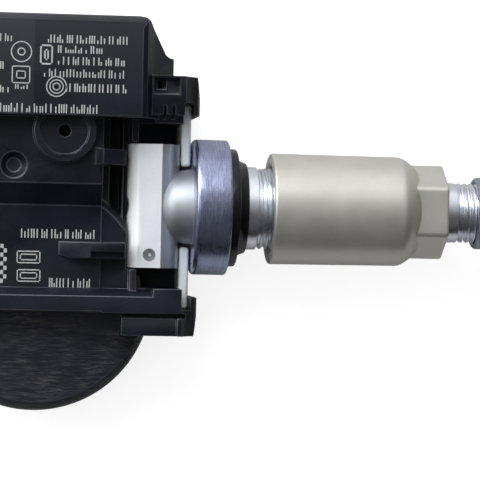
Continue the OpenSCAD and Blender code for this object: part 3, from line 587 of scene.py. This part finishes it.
def grain_pattern(group, place, scale):
    """Moulded or cast grain: a fine noise, slow blotches, the fine one's share, and half the band of the
    sum that spreads from one colour to the other."""
    return noise_node(group, place, scale, 2.0, 0.6), noise_node(group, place, 260.0, 4.0), 0.4, 0.14


def lathe_pattern(group, place, scale):
    """Fine lines left by a lathe: noise that changes along X and with the distance from the X axis, and
    hardly round it, with slow stains, and the same two numbers."""
    axes = parts_of(group, place)
    radius = math_node(group, "SQRT", math_node(
        group, "ADD", math_node(group, "POWER", axes["Y"], 2.0), math_node(group, "POWER", axes["Z"], 2.0)))
    tool_path = group.nodes.new("ShaderNodeCombineXYZ")
    for i, socket in enumerate((axes["X"], radius, times(group, axes["Y"], 0.07))):
        group.links.new(socket, tool_path.inputs[i])
    lines = noise_node(group, tool_path.outputs[0], scale, 3.0, 0.75)
    return lines, noise_node(group, place, 300.0, 3.0), 0.75, 0.12


def finish_group(name, pattern):
    """A finish: the sum of a pattern's fine and slow noise spreads two colours and the roughness, and its
    fine noise is the height."""
    group, given, out = new_group(
        name,
        [("Color", "NodeSocketColor", (0.5, 0.5, 0.5, 1)),
         ("Second Color", "NodeSocketColor", (0.3, 0.3, 0.3, 1)),
         ("Pattern Scale", "NodeSocketFloat", 4000.0), ("Roughness", "NodeSocketFloat", 0.5),
         ("Spread", "NodeSocketFloat", 0.1)],
        [("Color", "NodeSocketColor"), ("Roughness", "NodeSocketFloat"), ("Height", "NodeSocketFloat")],
    )
    place = group.nodes.new("ShaderNodeTexCoord").outputs["Object"]
    fine, slow, share, band = pattern(group, place, given.outputs["Pattern Scale"])
    both = math_node(group, "ADD", times(group, slow, 1 - share), times(group, fine, share))
    spread = ramp(group, both, 0.5 - band, 0.5 + band)
    color = mixed(group, spread, given.outputs["Second Color"], given.outputs["Color"])
    swing = times(group, math_node(group, "SUBTRACT", spread, 0.5), given.outputs["Spread"])
    rough = math_node(group, "ADD", swing, given.outputs["Roughness"])
    for socket, label in ((color, "Color"), (rough, "Roughness"), (fine, "Height")):
        group.links.new(socket, out.inputs[label])
    return group


def finish_material(name, group, color, second, scale, rough, spread, bump, metallic=0.0, specular=0.5):
    """A material whose colour, roughness and relief come from a shared group, with plain numbers on the
    shader's own sockets."""
    mat = bpy.data.materials.new(name)
    mat.use_nodes = True
    tree = mat.node_tree
    shader = tree.nodes["Principled BSDF"]
    effect = tree.nodes.new("ShaderNodeGroup")
    effect.node_tree = group
    for label, value in (("Color", (*color, 1)), ("Second Color", (*second, 1)), ("Pattern Scale", scale),
                         ("Roughness", rough), ("Spread", spread)):
        effect.inputs[label].default_value = value
    tree.links.new(effect.outputs["Color"], shader.inputs["Base Color"])
    tree.links.new(effect.outputs["Roughness"], shader.inputs["Roughness"])
    relief = tree.nodes.new("ShaderNodeBump")
    relief.inputs["Strength"].default_value = 1.0
    relief.inputs["Distance"].default_value = bump * MM
    tree.links.new(effect.outputs["Height"], relief.inputs["Height"])
    tree.links.new(relief.outputs["Normal"], shader.inputs["Normal"])
    shader.inputs["Metallic"].default_value = metallic
    shader.inputs["Specular IOR Level"].default_value = specular
    return mat


def use(target, mat):
    """Puts one material on a piece or on a node of the frame."""
    obj = nodes[target] if isinstance(target, str) else target
    if obj.data.materials:
        for slot in obj.material_slots:
            slot.material = mat
    else:
        obj.data.materials.append(mat)


def housing_material():
    """Moulded plastic: fine grain all over, a lighter patch on the top block's closed end, and a lighter
    face of the lobe with long worn scratches in relief."""
    mat = finish_material(
        "moulded_plastic", GRAIN, (0.0108, 0.0129, 0.0218), (0.0054, 0.0066, 0.0118), 5200.0, 0.46, 0.16,
        0.014, specular=0.20)
    tree = mat.node_tree
    effect = next(n for n in tree.nodes if n.type == "GROUP")
    relief = next(n for n in tree.nodes if n.type == "BUMP")
    place = tree.nodes.new("ShaderNodeTexCoord").outputs["Object"]
    axes = parts_of(tree, place)

    def past(axis, low, high):
        """0 to 1 as a coordinate goes from one place to another, both in mm."""
        return ramp(tree, axes[axis], low * MM, high * MM)

    lobe = times(tree, past("Y", -13.2, -14.0), past("Z", 2.6, 2.1), clamp=True)
    scratch = noise_node(tree, stretched(tree, place, (0.11, 1.0, 0.3)), 4200.0, 5.0, 0.72, 0.5)
    patch = ramp(tree, noise_node(tree, place, 220.0, 3.0), 0.3, 0.6)
    worn = times(tree, times(tree, ramp(tree, scratch, 0.47, 0.68), patch), lobe, clamp=True)
    # lighter colour on the top block's raised top at its closed end
    raised = times(tree, past("Z", 5.0, 5.3), past("Y", 5.0, 6.0), clamp=True)
    lighter_end_patch = times(tree, times(tree, raised, past("X", -26.3, -26.5), clamp=True), 0.6, clamp=True)
    base = mixed(tree, lighter_end_patch, effect.outputs["Color"], (0.024, 0.026, 0.033, 1))
    base = mixed(tree, lobe, base, (0.0215, 0.0230, 0.0325, 1))
    color = mixed(tree, worn, base, (0.112, 0.108, 0.116, 1))
    tree.links.new(color, tree.nodes["Principled BSDF"].inputs["Base Color"])
    deep = times(tree, times(tree, scratch, lobe), 2.5)
    tree.links.new(math_node(tree, "ADD", effect.outputs["Height"], deep), relief.inputs["Height"])
    return mat


def nut_material():
    """Warm satin nickel, with a faint green tint painted into the hollow between the shoulder and the
    hexagon as a painted reflection.
    """
    mat = finish_material(
        "satin_nickel", GRAIN, (0.67, 0.66, 0.615), (0.60, 0.59, 0.55), 6800.0, 0.43, 0.08, 0.006,
        metallic=0.7)
    tree = mat.node_tree
    effect = next(n for n in tree.nodes if n.type == "GROUP")
    x = parts_of(tree, tree.nodes.new("ShaderNodeTexCoord").outputs["Object"])["X"]
    hollow = times(
        tree, ramp(tree, x, (HEX_START - 0.1) * MM, (HEX_START + 0.4) * MM),
        ramp(tree, x, (HEX_START + 1.3) * MM, (HEX_START + 0.9) * MM), clamp=True)
    # green tint in the hollow: painted reflection
    painted_reflection_tint = mixed(tree, hollow, effect.outputs["Color"], (0.61, 0.62, 0.53, 1))
    tree.links.new(painted_reflection_tint, tree.nodes["Principled BSDF"].inputs["Base Color"])
    return mat


def tick_row(px, py, width, z, tall, seed):
    """Boxes of one row of plain ticks: thin upright strokes of three heights, with gaps from a seeded draw,
    so that the row reads as fine grey print from afar and holds no letters."""
    draw = np.random.default_rng(seed)
    x0, y0 = pixel_to_plan(px, py, z)
    x1 = pixel_to_plan(px + width, py, z)[0]
    steps = draw.choice([0.3, 0.42, 0.62], size=int((x1 - x0) / 0.3), p=[0.45, 0.35, 0.2])
    left = x0 + np.concatenate([[0], np.cumsum(steps)])
    left = left[left < x1 - TICK]
    half = tall / 2 * draw.choice([1.0, 0.72, 0.45], size=len(left), p=[0.6, 0.25, 0.15])
    foot = np.full(len(left), y0 - tall / 2)
    low, high = np.full(len(left), z + LIFT), np.full(len(left), z + LIFT + INK)
    return np.stack([left, left + TICK, foot, foot + 2 * half, low, high], 1)


def frame_mark(px, py, z, half_x, half_y, stroke=STROKE):
    """Boxes of a plain rectangular outline about a pixel."""
    x, y = pixel_to_plan(px, py, z)
    low, high = z + LIFT, z + LIFT + INK
    return np.array([
        [x - half_x, x + half_x, y + half_y - stroke, y + half_y, low, high],
        [x - half_x, x + half_x, y - half_y, y - half_y + stroke, low, high],
        [x - half_x, x - half_x + stroke, y - half_y, y + half_y, low, high],
        [x + half_x - stroke, x + half_x, y - half_y, y + half_y, low, high],
    ])


def boxes_to_mesh(boxes):
    """Vertices and faces of many boxes given as [x0, x1, y0, y1, z0, z1], as whole arrays."""
    b = np.asarray(boxes, float)
    pick = np.array([
        [0, 2, 4], [1, 2, 4], [1, 3, 4], [0, 3, 4], [0, 2, 5], [1, 2, 5], [1, 3, 5], [0, 3, 5]
    ])
    verts = np.take_along_axis(b[:, None, :].repeat(8, 1), pick[None].repeat(len(b), 0), 2).reshape(-1, 3)
    quad = np.array([[0, 3, 2, 1], [4, 5, 6, 7], [0, 1, 5, 4], [1, 2, 6, 5], [2, 3, 7, 6], [3, 0, 4, 7]])
    faces = (quad[None] + 8 * np.arange(len(b))[:, None, None]).reshape(-1, 4)
    return verts, faces


def ring_mark(px, py, z, radius):
    """A flat ring: a small rectangular section swept round a full turn."""
    cx, cy = pixel_to_plan(px, py, z)
    a = np.linspace(0, 2 * math.pi, RING_SIDES, endpoint=False)[:, None]
    r = np.array([radius - STROKE, radius, radius, radius - STROKE])
    h = np.array([0, 0, INK, INK])
    verts = np.stack([cx + np.cos(a) * r, cy + np.sin(a) * r, z + LIFT + h + 0 * a], -1).reshape(-1, 3)
    return verts, ring_grid(RING_SIDES, 4)


def make_print():
    """All the light grey print: rows of ticks, rings and frames on the top block and the lower floor."""
    high, low = BLOCK_Z, FLOOR_Z
    rows = [
        (48, 38.5, 80, high, 1.0), (58, 49, 45, high, 0.95), (58, 60.5, 68, high, 1.0),
        (44, 72.5, 82, high, 1.0), (66, 87.5, 62, high, 1.05), (0, 107, 99, high, 1.1),
        (0, 37, 13, high, 0.95), (0, 65, 5, high, 0.95), (0, 88.5, 11, high, 0.9),
        (15, 86.5, 13, high, 0.55), (21, 233, 74, low, 1.15), (49, 282.5, 41, low, 1.15),
    ]
    boxes = [tick_row(*row, FIRST_SEED + n) for n, row in enumerate(rows)]
    row, col = np.meshgrid(np.arange(9), np.arange(2), indexing="ij")
    dark = (row + col) % 2 == 0
    x, y = pixel_to_plan(2, 246, low)
    x, y = x + 0.42 * col[dark], y - 0.55 * row[dark]
    foot = np.full(x.shape, low + LIFT)
    boxes.append(np.stack([x - 0.2, x + 0.2, y - 0.26, y + 0.26, foot, foot + INK], 1))
    boxes += [frame_mark(21, 74.5, high, *halves) for halves in ((1.15, 1.1), (0.6, 0.5))]
    boxes += [frame_mark(46.5, 54.5, high, *halves, 0.2) for halves in ((0.8, 1.25), (0.3, 0.7))]
    for py in (257, 275.5):
        boxes += [frame_mark(28.5, py, low, *halves, 0.14) for halves in ((1.5, 0.8), (1.1, 0.42))]
    parts = [boxes_to_mesh(np.concatenate(boxes))]
    parts += [ring_mark(21.5, 51.5, high, radius) for radius in (1.32, 0.5)]
    parts += [ring_mark(56.5, 86.5, high, radius) for radius in (1.3, 0.9, 0.5)]
    verts, faces = zip(*parts)
    first = np.cumsum([0] + [len(points) for points in verts])
    faces = [quads + start for quads, start in zip(faces, first)]
    return add_object(
        "light_print", np.concatenate(verts), np.concatenate(faces), "housing"
    )


def stem_materials():
    """Finishes of the stem by face: 0 the threaded front, 1 the milled head, 2 the neck, 3 a darker copy of
    the head's metal as painted shade in the dimple and on the head's round side towards the collar, 4 a
    lighter copy as painted light on its round side towards the closed end."""
    use(stem, finish_material(
        "bright_aluminium", GRAIN, (0.82, 0.85, 0.91), (0.74, 0.77, 0.84), 9000.0, 0.29, 0.06, 0.002,
        metallic=1.0))
    others = [
        ("milled_aluminium", (0.82, 0.84, 0.88), (0.72, 0.74, 0.79), 0.40, 0.08, 0.3),
        ("turned_neck", (0.47, 0.495, 0.54), (0.41, 0.43, 0.47), 0.53, 0.06, 0.95),
        # darker copy of the head's metal: painted shade
        ("painted_shade_aluminium", (0.43, 0.455, 0.475), (0.36, 0.38, 0.40), 0.38, 0.08, 0.65),
        # lighter, nearly matt copy of the head's metal: painted light
        ("bright_side", (0.95, 0.96, 0.98), (0.89, 0.91, 0.94), 0.40, 0.08, 0.0),
    ]
    mesh = stem.data
    for name, color, second, rough, spread, metallic in others:
        mesh.materials.append(
            finish_material(name, GRAIN, color, second, 7000.0, rough, spread, 0.003, metallic=metallic))
    centre, normal = np.empty(len(mesh.polygons) * 3), np.empty(len(mesh.polygons) * 3)
    mesh.polygons.foreach_get("center", centre)
    mesh.polygons.foreach_get("normal", normal)
    x, y, z = (centre / MM).reshape(-1, 3).T
    nx, ny, nz = normal.reshape(-1, 3).T
    on_head = np.hypot(x - PIVOT_X, z) < HEAD_R + 0.01
    on_neck = ~on_head & (x < COLLAR_BACK + 1)
    on_neck[first_of_neck:] = True
    on_round = on_head & (np.abs(ny) < 0.3)
    from_dimple = np.hypot(x - PIVOT_X + FLAT_LEVEL * math.sin(FLAT_LEAN), y - DIMPLE_Y)
    in_dimple = on_head & (from_dimple < 0.9) & (nz < 0.9)
    # The dimple and the round side towards the collar get painted shade, the round side towards the closed
    # end painted light, by each face's place and the way it points.
    wearing = np.select(
        [on_neck, in_dimple, on_round & (nx > 0.36), on_round & (nx < -0.36), on_head], [2, 3, 3, 4, 1], 0)
    mesh.polygons.foreach_set("material_index", wearing.astype(np.int32))


def make_materials():
    """Every finish of the part, and the pieces that wear it."""
    use(housing, housing_material())
    # The housing's rounded edges wear a lighter copy of the plastic: a painted highlight along every edge.
    housing.data.materials.append(finish_material(
        "painted_edge_highlight", GRAIN, (0.052, 0.057, 0.073), (0.028, 0.031, 0.042), 3600.0, 0.36, 0.14, 0.006))
    housing.modifiers["rounded_edges"].material = 1
    stem_materials()
    use(collar, finish_material(
        "dark_turned_collar", TURNED, (0.40, 0.44, 0.62), (0.25, 0.28, 0.43), 11000.0, 0.28, 0.16, 0.004,
        metallic=0.95))
    use(grommet, finish_material(
        "moulded_rubber", GRAIN, (0.008, 0.008, 0.010), (0.005, 0.005, 0.006), 1800.0, 0.24, 0.1, 0.004,
        specular=0.4))
    use(nut, nut_material())
    use(plate, finish_material(
        "blue_zinc", GRAIN, (0.98, 1.0, 1.0), (0.86, 0.95, 1.0), 6200.0, 0.42, 0.2, 0.008))
    use(cap, finish_material(
        "matt_cap_metal", GRAIN, (0.36, 0.385, 0.45), (0.29, 0.31, 0.37), 4200.0, 0.36, 0.12, 0.004,
        metallic=0.85))
    use(print_marks, finish_material(
        "light_print_ink", GRAIN, (0.60, 0.60, 0.61), (0.42, 0.42, 0.44), 6000.0, 0.6, 0.1, 0.001))
    plain = {
        "cast_resin": ((0.022, 0.022, 0.026), (0.014, 0.014, 0.017), 900.0, 0.32, 0.0,
                       ["potting_compound"]),
        "solder_mask": ((0.03, 0.16, 0.08), (0.02, 0.11, 0.05), 1500.0, 0.35, 0.0, ["circuit_board"]),
        "cell_nickel": ((0.62, 0.62, 0.64), (0.5, 0.5, 0.52), 2200.0, 0.3, 0.9,
                        ["battery_can", "battery_lid", "quartz_crystal"]),
        "tab_nickel": ((0.6, 0.6, 0.57), (0.48, 0.48, 0.46), 2200.0, 0.35, 0.9,
                       ["battery_tab_positive", "battery_tab_negative"]),
        "seal_rubber": ((0.03, 0.03, 0.032), (0.02, 0.02, 0.022), 2000.0, 0.5, 0.0,
                        ["battery_gasket", "port_seal", "core_cup", "cap_seal"]),
        "chip_mould": ((0.025, 0.025, 0.027), (0.015, 0.015, 0.017), 5000.0, 0.55, 0.0, ["sensor_chip"]),
        "ferrite": ((0.06, 0.06, 0.065), (0.04, 0.04, 0.045), 3500.0, 0.6, 0.0, ["lf_coil_core"]),
        "enamelled_copper": ((0.62, 0.28, 0.11), (0.45, 0.19, 0.07), 2500.0, 0.3, 0.8, ["lf_coil_winding"]),
        "antenna_alloy": ((0.72, 0.62, 0.4), (0.6, 0.5, 0.32), 2500.0, 0.3, 0.9, ["rf_antenna"]),
        "chip_ceramic": ((0.46, 0.37, 0.23), (0.36, 0.29, 0.18), 4000.0, 0.5, 0.0, ["chip_capacitors"]),
        "turned_brass": ((0.74, 0.53, 0.23), (0.58, 0.4, 0.16), 2500.0, 0.28, 0.9,
                         ["core_plug", "core_barrel", "core_pin"]),
        "red_seal": ((0.5, 0.07, 0.045), (0.38, 0.05, 0.03), 2000.0, 0.45, 0.0, ["barrel_seal"]),
        "spring_wire": ((0.6, 0.6, 0.62), (0.45, 0.45, 0.47), 2500.0, 0.3, 0.9, ["core_spring"]),
    }
    for name, (color, second, scale, rough, metallic, wearers) in plain.items():
        mat = finish_material(name, GRAIN, color, second, scale, rough, 0.1, 0.004, metallic=metallic)
        for wearer in wearers:
            use(wearer, mat)


def pale_surface(name, strength):
    """Pale matt surface that shows white to the camera and at a small part of that in reflections, and
    takes the object's soft shadow."""
    mat = bpy.data.materials.new(name)
    mat.use_nodes = True
    tree = mat.node_tree
    shader = tree.nodes["Principled BSDF"]
    shader.inputs["Base Color"].default_value = (0.65, 0.65, 0.65, 1)
    shader.inputs["Roughness"].default_value = 0.9
    shader.inputs["Emission Color"].default_value = (1, 1, 1, 1)
    light = tree.nodes.new("ShaderNodeLightPath")
    mirrored = times(tree, light.outputs["Is Glossy Ray"], FLOOR_IN_MIRROR)
    seen = math_node(tree, "MAXIMUM", light.outputs["Is Camera Ray"], mirrored)
    tree.links.new(times(tree, seen, strength), shader.inputs["Emission Strength"])
    return mat


def toward(tree, way, direction):
    """How far a direction turns to another: 1 the same way, 0 the opposite."""
    n = tree.nodes.new("ShaderNodeVectorMath")
    n.operation = "DOT_PRODUCT"
    tree.links.new(way, n.inputs[0])
    n.inputs[1].default_value = direction
    return ramp(tree, n.outputs["Value"], -1.0, 1.0)


def make_floor():
    """Pale floor a little under the part."""
    z = cad_box[0][2] - FLOOR_GAP
    corners = [(x * FLOOR_REACH, y * FLOOR_REACH, z) for x, y in ((-1, -1), (1, -1), (1, 1), (-1, 1))]
    mesh = bpy.data.meshes.new("floor")
    mesh.from_pydata(corners, [], [(0, 1, 2, 3)])
    floor = bpy.data.objects.new("floor", mesh)
    bpy.context.scene.collection.objects.link(floor)
    floor.data.materials.append(pale_surface("pale_floor", 0.8))


def make_world():
    """A room that is white to the camera, shows in reflections only at its far side and closed end, and
    lights the part softly from above the far left."""
    world = bpy.data.worlds.new("white_room")
    bpy.context.scene.world = world
    world.use_nodes = True
    tree = world.node_tree
    back = tree.nodes["Background"]
    light = tree.nodes.new("ShaderNodeLightPath").outputs
    way = tree.nodes.new("ShaderNodeTexCoord").outputs["Generated"]
    sides = parts_of(tree, way)
    far_side = math_node(tree, "POWER", toward(tree, way, (-0.25, 0.95, 0.15)), 3.0)
    closed_end = times(tree, ramp(tree, sides["X"], -0.42, -0.7), ramp(tree, sides["Y"], -0.3, 0.1))
    bright_side = math_node(tree, "MAXIMUM", times(tree, far_side, 1.28), closed_end, clamp=True)
    mirrored = times(tree, light["Is Glossy Ray"], bright_side)
    seen = math_node(tree, "MAXIMUM", light["Is Camera Ray"], mirrored)
    direct = math_node(tree, "MAXIMUM", light["Is Camera Ray"], light["Is Glossy Ray"])
    plain = math_node(tree, "SUBTRACT", 1.0, direct)
    soft = math_node(tree, "POWER", toward(tree, way, (-0.55, 0.45, 0.7)), 2.0)
    soft = times(tree, soft, AMBIENT)
    strength = math_node(tree, "ADD", seen, times(tree, plain, soft))
    tree.links.new(strength, back.inputs["Strength"])
    back.inputs["Color"].default_value = (1, 1, 1, 1)


def add_lamp(name, place, wide, tall, power):
    """A soft rectangular lamp at a place in mm, turned to the part."""
    data = bpy.data.lights.new(name, "AREA")
    data.shape = "RECTANGLE"
    data.size = wide * MM
    data.size_y = tall * MM
    data.energy = power
    lamp = bpy.data.objects.new(name, data)
    lamp.location = Vector(place) * MM
    lamp.rotation_mode = "QUATERNION"
    lamp.rotation_quaternion = (Vector((LAMPS_AIM_X * MM, 0, 0)) - lamp.location).to_track_quat("-Z", "Y")
    bpy.context.scene.collection.objects.link(lamp)


def make_lights():
    """A soft key from the far left, a long one low at the left, and two weak lamps, which lighten the near
    side and draw a highlight from above."""
    add_lamp("key", (-150, 280, 300), 260, 260, 0.95)
    add_lamp("fill", (120, -280, 280), 300, 300, 0.02)
    add_lamp("top", (-110, 15, 330), 90, 90, 0.03)
    add_lamp("left", (-330, 200, 140), 420, 150, 1.0)


def make_camera():
    """Camera at the photograph's view: over the label side, leaning a little to the closed end, turned by
    the photograph's roll, with the lens set by the scale at the stem."""
    data = bpy.data.cameras.new("camera")
    cam = bpy.data.objects.new("camera", data)
    bpy.context.scene.collection.objects.link(cam)
    bpy.context.scene.camera = cam
    aim, right, up, back = view_frame()
    turn = Matrix((right.tolist(), up.tolist(), back.tolist())).transposed().to_4x4()
    cam.matrix_world = Matrix.Translation(Vector(((aim + back * CAMERA_FAR) * MM).tolist())) @ turn
    data.sensor_width = SENSOR_WIDE
    data.lens = SENSOR_WIDE * CAMERA_FAR * PIXELS_PER_MM / FRAME_PIXELS
    data.clip_start = 0.01
    data.clip_end = 20.0


housing = rounded_copy(
    "housing_shell", "housing_shell_moulded", "housing", HOUSING_ROUND)
plate = rounded_copy(
    "retaining_plate", "retaining_plate_rounded", "housing", PLATE_ROUND)
collar = make_collar()
grommet = make_grommet()
nut = make_nut()
cap = make_cap()
for piece in (collar, grommet, nut, cap):
    smooth(piece, 38)
stem, first_of_neck = make_stem()
print_marks = make_print()
GRAIN = finish_group("fine_grain", grain_pattern)
TURNED = finish_group("turned_lines", lathe_pattern)
make_materials()
make_floor()
make_world()
make_lights()
make_camera()
bpy.context.scene.view_settings.view_transform = "Standard"
